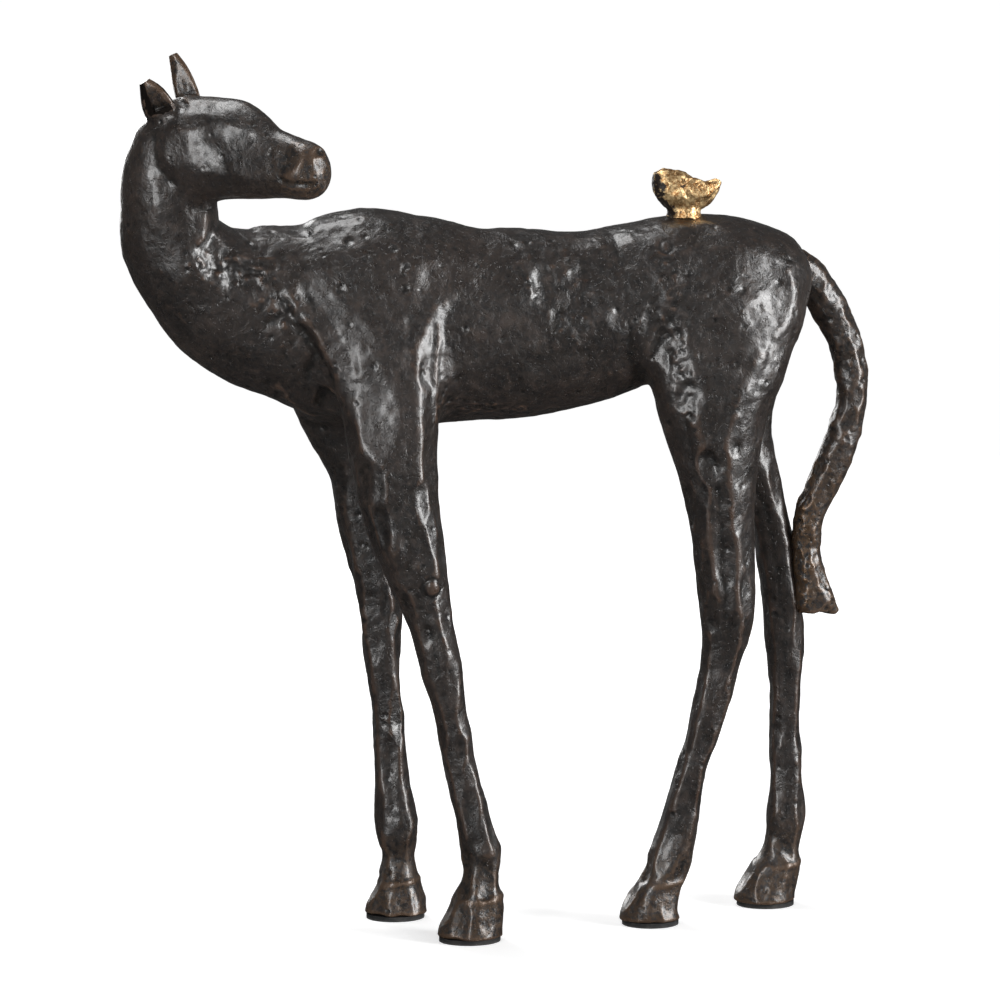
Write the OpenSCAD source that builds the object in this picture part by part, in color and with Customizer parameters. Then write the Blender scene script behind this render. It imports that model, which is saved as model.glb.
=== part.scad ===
// Cast bronze figure of a tall, thin-legged horse that looks back over its left shoulder,
// with a small gilded bird standing on its rump.
//
// Millimetres, +Z up. The horse stands along X with its chest towards -X, and its left
// flank is towards -Y. The origin is on the floor under the middle of the figure.
// The figure is cast in sections: a hollow trunk, a hollow neck, a head, two ears, four
// legs and a tail. Each section ends in a flat seat with a round spigot in a socket and a
// cross pin, and the seams are welded over and chased smooth.

/* [Figure] */
// Height from the floor to the tip of the higher ear
figure_h = 456; // [430:2:500]
// Distance from the middle of the whole figure to the horse's own middle plane
middle_y = 17; // [10:1:24]
// Thickness of the cast wall of the trunk
wall = 4; // [3:0.5:5]

/* [Leg and head joints] */
// Radius of the spigot on each leg and on the head
spigot_r = 7; // [5:0.5:8]
// Length of each spigot
spigot_l = 20; // [14:1:22]
// Gap between a spigot and its socket, on the radius
socket_gap = 0.15; // [0.1:0.05:0.3]
// Radius of the boss around each leg socket
boss_r = 12; // [11:0.5:13]
// Radius of the cross pins
pin_r = 2; // [1.5:0.25:2.5]

/* [Neck sleeve] */
// Thickness of the sleeve that slides into the open front of the trunk
sleeve_t = 3; // [2:0.5:4]
// Gap around the sleeve
sleeve_gap = 0.3; // [0.2:0.1:0.5]

/* [Feet] */
// Thickness of the pad under each hoof
pad_t = 2.5; // [2:0.5:4]
// Distance from the hoof's edge in to the pad's edge
pad_inset = 1.5; // [1:0.5:3]

/* [Bird] */
// Length of the bird from its breast to the end of its tail
bird_l = 36; // [30:1:40]
// Radius of the threaded stud that holds the bird
stud_r = 1.5; // [1:0.25:2]

/* [Hidden] */

// A station is [x, y, z, half size across the limb in side view, half size sideways].
// Stations are for a figure 456 high, and k brings them to the height asked for.
k = figure_h / 456;
// Rings that each span between two stations is cut into
per = 3;
// Sideways direction of the trunk, the neck, the legs and the tail
across = [0, 1, 0];
// The head is turned to the left by this angle from looking straight back
head_turn = 38;
head_across = [sin(head_turn), cos(head_turn), 0];
eps = 0.01;

// Rump to poll. The trunk ends and the neck starts at neck_cut, the head at head_cut.
spine = k * [
    [161, 0, 336, 14, 16], [151, 0, 336, 29, 28], [131, 0, 333, 38.5, 34], [105, 0, 331, 42, 37],
    [75, 0, 327.5, 42, 37], [45, 0, 320, 45, 36], [15, 0, 317, 49, 36], [-15, 0, 316, 50, 36],
    [-45, 0, 319, 54, 37], [-72, 0, 321, 56, 37], [-96, 0, 322, 51, 35], [-112, 0, 324, 45, 34],
    [-128.5, -1, 328, 42, 32], [-146, -4, 335, 36.5, 29], [-161, -8, 347, 29.5, 26],
    [-170.5, -12, 362, 26, 23], [-172.5, -16, 379, 24.5, 21], [-172.5, -19, 395, 24, 19],
    [-167.5, -22, 409, 22, 17]
];
neck_cut = 12;
head_cut = 16;

// Back of the skull to the muzzle
skull = k * [
    [-177, -14, 411, 13, 12], [-167, -22, 411, 22.5, 17], [-154, -32, 410.5, 24, 17],
    [-140, -43, 408.5, 22.5, 14], [-126, -54, 402, 17.5, 11.5], [-114, -63, 399, 14.5, 11],
    [-107.5, -68, 398, 13.5, 10.5], [-103, -71.5, 397, 10.5, 8.5], [-100.5, -73.5, 396.5, 4, 3]
];

// Angle of the jaw to the chin
jaw = k * [
    [-166, -20, 398, 10, 11], [-151, -33, 396.5, 12, 13], [-135, -46, 396.5, 10, 10],
    [-118, -60, 395, 8, 9], [-108, -67.5, 393.5, 8, 8.5], [-104, -71, 393.5, 4, 5]
];

// Ears, from the root inside the skull to the tip
ear_left_run = k * [
    [-160, -12, 427, 6, 5], [-163, -10, 437, 6.5, 4.5], [-166, -8, 447, 5, 3], [-169, -7, 455, 2.5, 2]
];
ear_right_run = k * [
    [-172, -31, 417, 7, 5], [-178, -33, 427, 9, 5], [-182, -35, 435, 7, 4], [-186, -36, 441, 3, 2]
];

// Legs, from inside the shoulder or the haunch to the sole. A leg starts at leg_cut.
leg_cut = 3;
sole = pad_t / k;
front_left_run = k * [
    [-77, -10, 348, 30, 12], [-69, -20, 320, 31, 18], [-62, -26, 286, 26, 19.5], [-60, -29, 253, 23, 19],
    [-57, -31, 225, 20.5, 17], [-50, -32, 195, 17, 15], [-43, -32, 171, 12, 12.5],
    [-37.5, -33, 147, 10.5, 10.5], [-32.5, -33, 121, 9, 9.5], [-27, -33, 93, 9, 9.5],
    [-20, -34, 65, 9.5, 10], [-16, -34, 46, 11, 11], [-16, -35, 34, 9.5, 9.5],
    [-17.5, -35, 22, 13, 12.5], [-20.5, -35, 11, 16, 14], [-22, -35, sole, 17.5, 15.5]
];
front_right_run = k * [
    [-84, 10, 340, 30, 12], [-84, 20, 305, 31, 18], [-78, 27, 272, 24.5, 19], [-72, 29, 252, 20, 17],
    [-68.5, 30, 236, 16, 16], [-67, 30, 215, 14.5, 14], [-62, 29, 183, 13, 12],
    [-59, 29, 160, 11.5, 11], [-57.5, 29, 138, 9.8, 10], [-55.5, 29, 113, 8.8, 9.5],
    [-53.5, 29, 81, 9.5, 9.5], [-50.5, 28, 49, 11.2, 11], [-50, 28, 33, 9.2, 9.2],
    [-50.5, 28, 20, 13, 12], [-51, 28, 10, 16, 14], [-51.5, 28, sole, 17, 15.5]
];
hind_left_run = k * [
    [126, -9, 350, 26, 12], [118, -20, 320, 35, 19], [109, -24, 286, 33, 19.5], [109.5, -24, 255, 25, 18],
    [111.5, -23, 230, 20, 16], [114, -22, 205, 17, 14], [116.5, -20.5, 183, 15.5, 13],
    [117.5, -19.5, 163, 14, 12], [115, -18, 144, 11.5, 11], [110, -17, 120, 9.5, 10],
    [103.5, -15.5, 96, 8.5, 9.5], [97.5, -14.5, 73, 8.7, 9.5], [93.5, -13, 51, 10, 10.5],
    [89, -12, 35, 11.2, 11], [84, -11, 22, 11.5, 12.5], [79.5, -11, 11, 15, 14.5],
    [78.5, -11, sole, 16.5, 15.5]
];
hind_right_run = k * [
    [126, 9, 350, 26, 12], [126, 20, 320, 34, 19], [128, 25, 286, 28, 19], [132, 26, 258, 20, 17],
    [142, 26, 233, 14, 14], [150, 26, 211, 11.5, 12], [156, 26, 179, 11, 11], [159, 26, 155, 11, 11],
    [160.5, 26, 133, 10, 10], [160.5, 26, 103, 9, 9.5], [161.5, 26, 69, 9.4, 9.5],
    [161.5, 26, 48, 11, 11], [159.5, 26, 34, 9.8, 9.5], [157.5, 26, 22, 12.5, 12],
    [152.5, 26, 11, 15.5, 14], [150, 26, sole, 17, 15.5]
];

// Tail, from the dock to the flared end that rests against the right hind leg
tail_run = k * [
    [150, 5, 348, 8, 8], [161, 7, 345, 9, 9], [173, 9, 331, 10, 10], [186.5, 10, 307, 9, 9],
    [191, 10, 286, 8.8, 8.5], [190, 11, 266, 9, 8.5], [184.8, 12, 248, 9, 8],
    [177.5, 14, 230, 9, 8], [170, 16, 212, 8.5, 7.5], [169, 17, 193, 8.2, 7],
    [172, 17, 175, 9, 7.5], [174, 17, 165, 9, 7.5], [177.5, 17, 159.5, 7.5, 5]
];

// Bird, from the end of the tail to the top of the head, around the middle of its own foot.
// Stations are for a bird 36 long.
bird_unit = bird_l / 36;
bird_body = bird_unit * [
    [18.5, 0, 18, 2, 4], [14.5, 0, 14, 5, 6], [9, 0, 11, 7.5, 8.5], [1, 0, 11.5, 10, 10],
    [-5, 0, 14, 10.5, 9.5], [-9.5, 0, 18, 8.5, 8], [-12, 0, 21.5, 5.5, 6], [-13, 0, 23.5, 3, 3.5]
];
bird_wing = bird_unit * [
    [-3, 0, 15, 2, 1.5], [2, 0, 14.5, 5.5, 2.5], [9, 0, 13.5, 5, 2.5], [16, 0, 15.5, 2, 1.5]
];
wing_side = 8 * bird_unit;
bird_foot_r = 9 * bird_unit;
bird_foot_h = 5 * bird_unit;
bird_at = k * [97, 0, 372];
// Spot face in the rump that the bird's foot sits in, cut clear of the rump above it
spot_depth = 1.5;
spot_clear = 12;
stud_up = 8;
stud_down = 10;
stud_boss_r = 5;

// How far each pin hole runs past its pin, so that its end is drilled cleanly
hole_extra = 3;
// The neck's pins go in from the sides, through the trunk's wall into the sleeve
neck_side = 33 * k;
neck_pin_l = 7;
neck_hole_in = 12;
neck_hole_out = 8;
// The tail's pin crosses the dock, and its hole runs right through the root of the tail
tail_pin_z = 347 * k;
tail_pin_half = 7.5;
tail_hole_half = 20;

// Where the hollow of each ear sits beside the ear itself
ear_left_opening = k * [3, -3, 1.5];
ear_right_opening = k * [1, -3.5, 1];
ear_wall = 1.5 * k;

// Sides of each kind of ring
spine_sides = 26;
leg_sides = 18;
skull_sides = 22;
ear_sides = 16;
tail_sides = 14;
bird_sides = 16;
wing_sides = 12;

// ---------------------------------------------------------------------------------------
// Curves and skins

function catmull(p0, p1, p2, p3, t) =
    0.5 * (2 * p1 + (p2 - p0) * t + (2 * p0 - 5 * p1 + 4 * p2 - p3) * t * t
        + (3 * p1 - p0 - 3 * p2 + p3) * t * t * t);

function pick(run, i) = run[min(max(i, 0), len(run) - 1)];

function smooth_run(run) = [
    for (i = [0 : len(run) - 2])
        for (j = [0 : per - 1])
            catmull(pick(run, i - 1), run[i], run[i + 1], pick(run, i + 2), j / per),
    run[len(run) - 1]
];

function centre(s) = [s[0], s[1], s[2]];

function unit(v) = v / norm(v);

function heading(fine, i) = unit(centre(pick(fine, i + 1)) - centre(pick(fine, i - 1)));

// Oval ring of a station, square to the heading. shrink takes metal off all round.
function ring(s, along, side, sides, shrink) =
    let (v = unit(side - (side * along) * along))
    let (u = cross(along, v))
    [
        for (i = [0 : sides - 1])
            centre(s)
                + u * max(s[3] - shrink, 0.5) * cos(360 * i / sides)
                + v * max(s[4] - shrink, 0.5) * sin(360 * i / sides)
    ];

// All rings of a run. A flat end keeps its last ring level with the floor.
function rings(run, side, sides, shrink = 0, flat_end = false) =
    let (fine = smooth_run(run))
    let (last = len(fine) - 1)
    [
        for (i = [0 : last])
            ring(fine[i], flat_end && i == last ? [0, 0, -1] : heading(fine, i), side, sides, shrink)
    ];

function slice(list, from, to) = [for (i = [from : to]) list[i]];

function average(points) =
    [for (axis = [0 : 2]) [for (p = points) p[axis]] * [for (p = points) 1] / len(points)];

// Closed skin over a list of rings, with a flat cap at each end
module skin(rows) {
    sides = len(rows[0]);
    last = len(rows) - 1;
    first_cap = (last + 1) * sides;
    points = concat([for (row = rows) each row], [average(rows[0]), average(rows[last])]);
    faces = concat(
        [
            for (r = [0 : last - 1])
                for (i = [0 : sides - 1])
                    let (j = (i + 1) % sides)
                    each [
                        [r * sides + i, r * sides + j, (r + 1) * sides + i],
                        [r * sides + j, (r + 1) * sides + j, (r + 1) * sides + i]
                    ]
        ],
        [for (i = [0 : sides - 1]) [first_cap, (i + 1) % sides, i]],
        [for (i = [0 : sides - 1]) [first_cap + 1, last * sides + i, last * sides + (i + 1) % sides]]
    );
    polyhedron(points = points, faces = faces);
}

// Puts +Z of its children along a direction, with their origin at a point
module towards(point, direction) {
    translate(point)
        rotate([0, acos(direction[2]), atan2(direction[1], direction[0])])
            children();
}

// Round bar from one point towards a direction
module bar(point, direction, from, to, r) {
    towards(point, direction)
        translate([0, 0, from])
            cylinder(h = to - from, r = r, $fn = 48);
}

// Everything is modelled around the horse's middle plane and then moved to the origin
module placed() {
    translate([0, middle_y, 0])
        children();
}

// ---------------------------------------------------------------------------------------
// Joints

function cut_point(run, cut) = centre(smooth_run(run)[cut * per]);
function cut_heading(run, cut) = heading(smooth_run(run), cut * per);

pin_rise = 8;
pin_reach = 9;
pin_sunk = 1;
socket_floor = 1;
boss_top = 6;

// The legs' cross pins go in from the side that faces the other leg
module leg_pin(run, inner, extra) {
    at = cut_point(run, leg_cut) - pin_rise * cut_heading(run, leg_cut);
    reach = run[leg_cut][4] - pin_sunk;
    bar(at, [0, inner, 0], -pin_reach - extra / 10, reach + extra, pin_r);
}

module leg_boss(run) {
    bar(cut_point(run, leg_cut), -cut_heading(run, leg_cut), eps, spigot_l + boss_top, boss_r);
}

module leg_socket(run) {
    bar(cut_point(run, leg_cut), -cut_heading(run, leg_cut), -1, spigot_l + socket_floor,
        spigot_r + socket_gap);
}

module leg_spigot(run) {
    bar(cut_point(run, leg_cut), -cut_heading(run, leg_cut), -eps, spigot_l, spigot_r);
}

module leg_stub(run) {
    skin(slice(rings(run, across, leg_sides), 0, leg_cut * per));
}

module leg_below(run) {
    all_rings = rings(run, across, leg_sides, 0, true);
    skin(slice(all_rings, leg_cut * per, len(all_rings) - 1));
}

// ---------------------------------------------------------------------------------------
// Castings

neck_ring = neck_cut * per;
head_ring = head_cut * per;
sleeve_rings = 2;

module trunk_outside() {
    skin(slice(rings(spine, across, spine_sides), 0, neck_ring));
    leg_stub(front_left_run);
    leg_stub(front_right_run);
    leg_stub(hind_left_run);
    leg_stub(hind_right_run);
}

// The core leaves the trunk hollow and open at the front
module trunk_core() {
    skin(slice(rings(spine, across, spine_sides, wall), per, neck_ring + 1));
}

module neck_pin_bar(side, from, to) {
    at = centre(smooth_run(spine)[neck_ring - 1]);
    bar(at, [0, side, 0], from, to, pin_r);
}

module neck_pin(side) {
    neck_pin_bar(side, neck_side - pin_sunk - neck_pin_l, neck_side - pin_sunk);
}

module stud_bar(r, from, to) {
    bar(bird_at, [0, 0, 1], from, to, r);
}

module tail_solid() {
    skin(rings(tail_run, across, tail_sides));
}

module tail_pin_bar(r, from, to) {
    bar([tail_run[0][0] + 2, tail_run[0][1], tail_pin_z], [0, 1, 0], from, to, r);
}

module trunk_casting() {
    color("#3b3431")
        placed()
            difference() {
                union() {
                    difference() {
                        trunk_outside();
                        trunk_core();
                    }
                    leg_boss(front_left_run);
                    leg_boss(front_right_run);
                    leg_boss(hind_left_run);
                    leg_boss(hind_right_run);
                    stud_bar(stud_boss_r, -stud_down - 1, -wall / 2);
                }
                leg_socket(front_left_run);
                leg_socket(front_right_run);
                leg_socket(hind_left_run);
                leg_socket(hind_right_run);
                leg_pin(front_left_run, 1, hole_extra);
                leg_pin(front_right_run, -1, hole_extra);
                leg_pin(hind_left_run, 1, hole_extra);
                leg_pin(hind_right_run, -1, hole_extra);
                neck_pin_bar(-1, neck_side - neck_hole_in, neck_side + neck_hole_out);
                neck_pin_bar(1, neck_side - neck_hole_in, neck_side + neck_hole_out);
                stud_bar(bird_foot_r + socket_gap, -spot_depth, spot_clear);
                stud_bar(stud_r, -stud_down - 2, 2);
                tail_solid();
            }
}

// The sleeve on the neck slides into the trunk's open front
module neck_casting() {
    inner = wall + sleeve_gap + sleeve_t;
    color("#3b3431")
        placed()
            difference() {
                union() {
                    skin(slice(rings(spine, across, spine_sides), neck_ring, head_ring));
                    skin(slice(
                        rings(spine, across, spine_sides, wall + sleeve_gap),
                        neck_ring - sleeve_rings, neck_ring + 1
                    ));
                }
                skin(slice(
                    rings(spine, across, spine_sides, inner),
                    neck_ring - sleeve_rings - 1, head_ring - 2 * per
                ));
                neck_pin_bar(-1, neck_side - neck_hole_in, neck_side + neck_hole_out);
                neck_pin_bar(1, neck_side - neck_hole_in, neck_side + neck_hole_out);
                head_bar(-1, spigot_l + socket_floor, spigot_r + socket_gap);
                head_pin_bar(hole_extra);
            }
}

module head_bar(from, to, r) {
    bar(cut_point(spine, head_cut), -cut_heading(spine, head_cut), from, to, r);
}

module head_pin_bar(extra) {
    at = cut_point(spine, head_cut) - pin_rise * cut_heading(spine, head_cut);
    bar(at, [0, 1, 0], -pin_reach - extra / 10, spine[head_cut][4] - pin_sunk + extra, pin_r);
}

module ear_solid(run) {
    skin(rings(run, head_across, ear_sides));
}

// Eye on each side of the skull, a nostril on each side of the muzzle and the mouth
module eyes() {
    for (side = [-1, 1])
        translate(k * [-146, -39, 415] + side * 12.5 * k * head_across)
            sphere(r = 4 * k, $fn = 24);
}

module nostrils() {
    for (side = [-1, 1])
        translate(k * [-103, -72, 403] + side * 8 * k * head_across)
            rotate([0, 90, 0])
                cylinder(h = 12 * k, r = 1.2 * k, center = true, $fn = 24);
}

module mouth() {
    translate(k * [-104, -71, 391])
        rotate([0, 6, -head_turn])
            translate([-6 * k, -20 * k, 0])
                cube([24 * k, 40 * k, 0.8 * k]);
}

module head_casting() {
    color("#3d3633")
        placed()
            difference() {
                union() {
                    skin(rings(skull, head_across, skull_sides));
                    skin(rings(jaw, head_across, skull_sides));
                    skin(slice(rings(spine, across, spine_sides), head_ring, len(spine) * per - per));
                    eyes();
                    head_bar(-eps, spigot_l, spigot_r);
                }
                ear_solid(ear_left_run);
                ear_solid(ear_right_run);
                nostrils();
                mouth();
                head_pin_bar(hole_extra);
            }
}

// Each ear is a cup that opens forwards and outwards
module ear(run, opening) {
    color("#4a403a")
        placed()
            difference() {
                ear_solid(run);
                translate(opening)
                    skin(slice(
                        rings(run, head_across, ear_sides, ear_wall),
                        per, len(run) * per - per - 1
                    ));
            }
}

module leg_casting(run, inner) {
    color("#3b3431")
        placed()
            difference() {
                union() {
                    leg_below(run);
                    leg_spigot(run);
                }
                leg_pin(run, inner, hole_extra);
            }
}

module front_leg_left() leg_casting(front_left_run, 1);
module front_leg_right() leg_casting(front_right_run, -1);
module hind_leg_left() leg_casting(hind_left_run, 1);

// The tail's end rests in a shallow seat in the back of this leg
module hind_leg_right() {
    difference() {
        leg_casting(hind_right_run, -1);
        placed()
            tail_solid();
    }
}

module tail_casting() {
    color("#54463a")
        placed()
            difference() {
                tail_solid();
                tail_pin_bar(pin_r, -tail_hole_half, tail_hole_half);
            }
}

module bird_casting() {
    color("#b98a3a")
        placed()
            translate(bird_at)
                difference() {
                    union() {
                        skin(rings(bird_body, across, bird_sides));
                        for (side = [-1, 1])
                            translate([0, side * wing_side, 0])
                                skin(rings(bird_wing, across, wing_sides));
                        translate([0, 0, -spot_depth])
                            cylinder(h = bird_foot_h + spot_depth, r = bird_foot_r, $fn = 48);
                    }
                    translate([0, 0, -stud_down])
                        cylinder(h = stud_down + stud_up, r = stud_r, $fn = 48);
                }
}

// ---------------------------------------------------------------------------------------
// Stud, pins and pads

module bird_stud() {
    color("#a9a39a")
        placed()
            stud_bar(stud_r, -stud_down, stud_up);
}

module steel_pin() {
    color("#a9a39a")
        placed()
            children();
}

module pad(run) {
    foot = run[len(run) - 1];
    color("#1d1a19")
        placed()
            translate([foot[0], foot[1], 0])
                linear_extrude(pad_t)
                    polygon([
                        for (i = [0 : 35])
                            [
                                (foot[3] - pad_inset) * cos(10 * i),
                                (foot[4] - pad_inset) * sin(10 * i)
                            ]
                    ]);
}

trunk_casting();
neck_casting();
head_casting();
ear(ear_left_run, ear_left_opening);  // ear_left
ear(ear_right_run, ear_right_opening);  // ear_right
front_leg_left();
front_leg_right();
hind_leg_left();
hind_leg_right();
tail_casting();
bird_casting();
bird_stud();
steel_pin() leg_pin(front_left_run, 1, 0);  // front_pin_left
steel_pin() leg_pin(front_right_run, -1, 0);  // front_pin_right
steel_pin() leg_pin(hind_left_run, 1, 0);  // hind_pin_left
steel_pin() leg_pin(hind_right_run, -1, 0);  // hind_pin_right
steel_pin() head_pin_bar(0);  // head_pin
steel_pin() tail_pin_bar(pin_r, -tail_pin_half, tail_pin_half);  // tail_pin
steel_pin() neck_pin(-1);  // neck_pin_left
steel_pin() neck_pin(1);  // neck_pin_right
pad(front_left_run);  // pad_front_left
pad(front_right_run);  // pad_front_right
pad(hind_left_run);  // pad_hind_left
pad(hind_right_run);  // pad_hind_right
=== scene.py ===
"""Cast bronze horse that looks back over its shoulder, with a small gilded bird on its rump.

Each casting is modelled as clay would be: round limbs are laid over each other and blended,
ridges are raised, creases are pressed in, and the skin is pared and dented by hand. The clay
is a grid of distances to the skin, in millimetres, on the horse's own middle plane. Each
finished skin is sawn into its castings, which become mesh pieces in metres in the frame.
"""
import math

import bmesh
import bpy
import numpy as np
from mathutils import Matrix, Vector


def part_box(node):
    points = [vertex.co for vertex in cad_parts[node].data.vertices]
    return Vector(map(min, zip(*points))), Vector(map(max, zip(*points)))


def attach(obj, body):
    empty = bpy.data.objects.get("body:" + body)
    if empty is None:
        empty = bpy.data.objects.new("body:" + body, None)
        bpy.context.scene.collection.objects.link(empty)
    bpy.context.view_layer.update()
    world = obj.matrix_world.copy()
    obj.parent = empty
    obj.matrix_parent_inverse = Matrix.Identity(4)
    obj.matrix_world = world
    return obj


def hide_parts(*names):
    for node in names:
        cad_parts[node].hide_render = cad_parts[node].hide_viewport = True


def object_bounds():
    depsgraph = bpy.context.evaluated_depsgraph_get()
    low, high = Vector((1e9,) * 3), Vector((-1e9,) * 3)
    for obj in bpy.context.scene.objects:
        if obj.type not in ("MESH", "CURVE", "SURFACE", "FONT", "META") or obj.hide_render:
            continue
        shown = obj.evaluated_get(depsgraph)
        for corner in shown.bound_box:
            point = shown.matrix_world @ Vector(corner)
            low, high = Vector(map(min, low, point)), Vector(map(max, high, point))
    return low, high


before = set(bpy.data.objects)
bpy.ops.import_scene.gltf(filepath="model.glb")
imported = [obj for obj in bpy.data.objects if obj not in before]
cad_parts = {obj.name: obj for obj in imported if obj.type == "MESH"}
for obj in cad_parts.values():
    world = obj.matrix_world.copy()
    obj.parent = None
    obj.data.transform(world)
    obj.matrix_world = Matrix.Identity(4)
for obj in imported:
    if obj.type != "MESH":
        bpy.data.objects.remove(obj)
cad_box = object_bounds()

import openvdb as vdb
from mathutils import Matrix, Vector
from mathutils.kdtree import KDTree

# ---------------------------------------------------------------------------------------
# Sizes taken from the frame

DESIGN_HEIGHT = 456.0
FIGURE_HEIGHT = cad_box[1][2] - cad_box[0][2]
METRES = FIGURE_HEIGHT / DESIGN_HEIGHT
STUD_LOW, STUD_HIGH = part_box("bird_stud")
MIDDLE_Y = (STUD_LOW[1] + STUD_HIGH[1]) / 2
PAD_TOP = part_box("pad_front_left")[1][2] / METRES

# Fineness of each grid, in millimetres
BODY_VOXEL = 0.8
HEAD_VOXEL = 0.5
TAIL_VOXEL = 0.6
BIRD_VOXEL = 0.3

# Box of each grid: its low corner and its high corner
BODY_BOX = (-205, -58, -2), (182, 56, 440)
HEAD_BOX = (-206, -94, 352), (-86, 14, 460)
TAIL_BOX = (138, -14, 145), (206, 34, 366)
BIRD_BOX = (74, -16, 366), (122, 16, 402)

# The horse's own sideways, then the turned head's sideways, forwards and back
SIDEWAYS = np.array([0.0, 1.0, 0.0])
HEAD_TURN = math.radians(38)
HEAD_SIDEWAYS = np.array([math.sin(HEAD_TURN), math.cos(HEAD_TURN), 0.0])
HEAD_FORWARDS = np.array([math.cos(HEAD_TURN), -math.sin(HEAD_TURN), 0.0])
HEAD_BACK = np.array([-167.0, -22.0, 0.0])

# ---------------------------------------------------------------------------------------
# Stations: x, y, z, half size in side view, half size sideways

SPINE = [
    (161, 0, 336, 14, 16), (151, 0, 336, 29, 28), (131, 0, 333, 38.5, 34), (105, 0, 331, 42, 37),
    (75, 0, 327.5, 42, 37), (45, 0, 320, 45, 36), (15, 0, 317, 49, 36), (-15, 0, 316, 50, 36),
    (-45, 0, 319, 54, 37), (-72, 0, 321, 56, 37), (-96, 0, 322, 51, 35), (-112, 0, 324, 45, 34),
    (-128.5, -1, 328, 42, 32), (-146, -4, 335, 36.5, 29), (-161, -8, 347, 29.5, 26),
    (-170.5, -12, 362, 26, 23), (-172.5, -16, 379, 24.5, 21), (-172.5, -19, 395, 24, 19),
    (-167.5, -22, 409, 22, 17), (-162, -25, 419, 13, 11),
]
NECK_CUT = 12
HEAD_CUT = 16

SKULL = [
    (-177, -14, 411, 13, 12), (-167, -22, 411, 22.5, 17), (-154, -32, 410.5, 24, 17),
    (-140, -43, 408.5, 22.5, 14), (-126, -54, 402, 17.5, 11.5), (-114, -63, 399, 14.5, 11),
    (-107.5, -68, 398, 13.5, 10.5), (-103, -71.5, 397, 10.5, 8.5), (-100.5, -73.5, 396.5, 4, 3),
]
JAW = [
    (-166, -20, 398, 10, 11), (-151, -33, 396.5, 12, 13), (-135, -46, 396.5, 10, 10),
    (-118, -60, 395, 8, 9), (-108, -67.5, 393.5, 8, 8.5), (-104, -71, 393.5, 4, 5),
]

EARS = {
    "ear_left": [
        (-160, -12, 427, 6, 5), (-163, -10, 437, 6.5, 4.5), (-166, -8, 447, 5, 3),
        (-169, -7, 455, 2.5, 2),
    ],
    "ear_right": [
        (-172, -31, 417, 7, 5), (-178, -33, 427, 9, 5), (-182, -35, 435, 7, 4),
        (-186, -36, 441, 3, 2),
    ],
}
EAR_HOLLOW_SHIFT = {"ear_left": (2, -6, 0), "ear_right": (0.5, -6.5, 0)}

LEG_CUT = 3
LEGS = {
    "front_leg_left": [
        (-77, -10, 348, 30, 12), (-69, -20, 320, 31, 18), (-62, -26, 286, 26, 19.5),
        (-60, -29, 253, 23, 19), (-57, -31, 225, 20.5, 17), (-50, -32, 195, 17, 15),
        (-43, -32, 171, 12, 12.5), (-37.5, -33, 147, 10.5, 10.5), (-32.5, -33, 121, 9, 9.5),
        (-27, -33, 93, 9, 9.5), (-20, -34, 65, 9.5, 10), (-16, -34, 46, 11, 11),
        (-16, -35, 34, 9.5, 9.5), (-17.5, -35, 22, 13, 12.5), (-20.5, -35, 11, 16, 14),
        (-22, -35, PAD_TOP, 17.5, 15.5),
    ],
    "front_leg_right": [
        (-84, 10, 340, 30, 12), (-84, 20, 305, 31, 18), (-78, 27, 272, 24.5, 19),
        (-72, 29, 252, 20, 17), (-68.5, 30, 236, 16, 16), (-67, 30, 215, 14.5, 14),
        (-62, 29, 183, 13, 12), (-59, 29, 160, 11.5, 11), (-57.5, 29, 138, 9.8, 10),
        (-55.5, 29, 113, 8.8, 9.5), (-53.5, 29, 81, 9.5, 9.5), (-50.5, 28, 49, 11.2, 11),
        (-50, 28, 33, 9.2, 9.2), (-50.5, 28, 20, 13, 12), (-51, 28, 10, 16, 14),
        (-51.5, 28, PAD_TOP, 17, 15.5),
    ],
    "hind_leg_left": [
        (126, -9, 350, 26, 12), (118, -20, 320, 35, 19), (109, -24, 286, 33, 19.5),
        (109.5, -24, 255, 25, 18), (111.5, -23, 230, 20, 16), (114, -22, 205, 17, 14),
        (116.5, -20.5, 183, 15.5, 13), (117.5, -19.5, 163, 14, 12), (115, -18, 144, 11.5, 11),
        (110, -17, 120, 9.5, 10), (103.5, -15.5, 96, 8.5, 9.5), (97.5, -14.5, 73, 8.7, 9.5),
        (93.5, -13, 51, 10, 10.5), (89, -12, 35, 11.2, 11), (84, -11, 22, 11.5, 12.5),
        (79.5, -11, 11, 15, 14.5), (78.5, -11, PAD_TOP, 16.5, 15.5),
    ],
    "hind_leg_right": [
        (126, 9, 350, 26, 12), (126, 20, 320, 34, 19), (128, 25, 286, 28, 19),
        (132, 26, 258, 20, 17), (142, 26, 233, 14, 14), (150, 26, 211, 11.5, 12),
        (156, 26, 179, 11, 11), (159, 26, 155, 11, 11), (160.5, 26, 133, 10, 10),
        (160.5, 26, 103, 9, 9.5), (161.5, 26, 69, 9.4, 9.5), (161.5, 26, 48, 11, 11),
        (159.5, 26, 34, 9.8, 9.5), (157.5, 26, 22, 12.5, 12), (152.5, 26, 11, 15.5, 14),
        (150, 26, PAD_TOP, 17, 15.5),
    ],
}

TAIL = [
    (150, 5, 348, 8, 8), (161, 7, 345, 9, 9), (173, 9, 331, 10, 10), (186.5, 10, 307, 9, 9),
    (191, 10, 286, 8.8, 8.5), (190, 11, 266, 9, 8.5), (184.8, 12, 248, 9, 8),
    (177.5, 14, 230, 9, 8), (170, 16, 212, 8.5, 7.5), (169, 17, 193, 8.2, 7),
    (172, 17, 175, 9, 7.5), (173.5, 17, 165, 10.5, 7.5), (174, 17, 160, 9.5, 6.5),
]
TAIL_POINT = [(172, 17, 174, 7, 6), (179, 17, 166, 6, 5), (186, 16.5, 159, 2, 2.5)]

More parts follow.
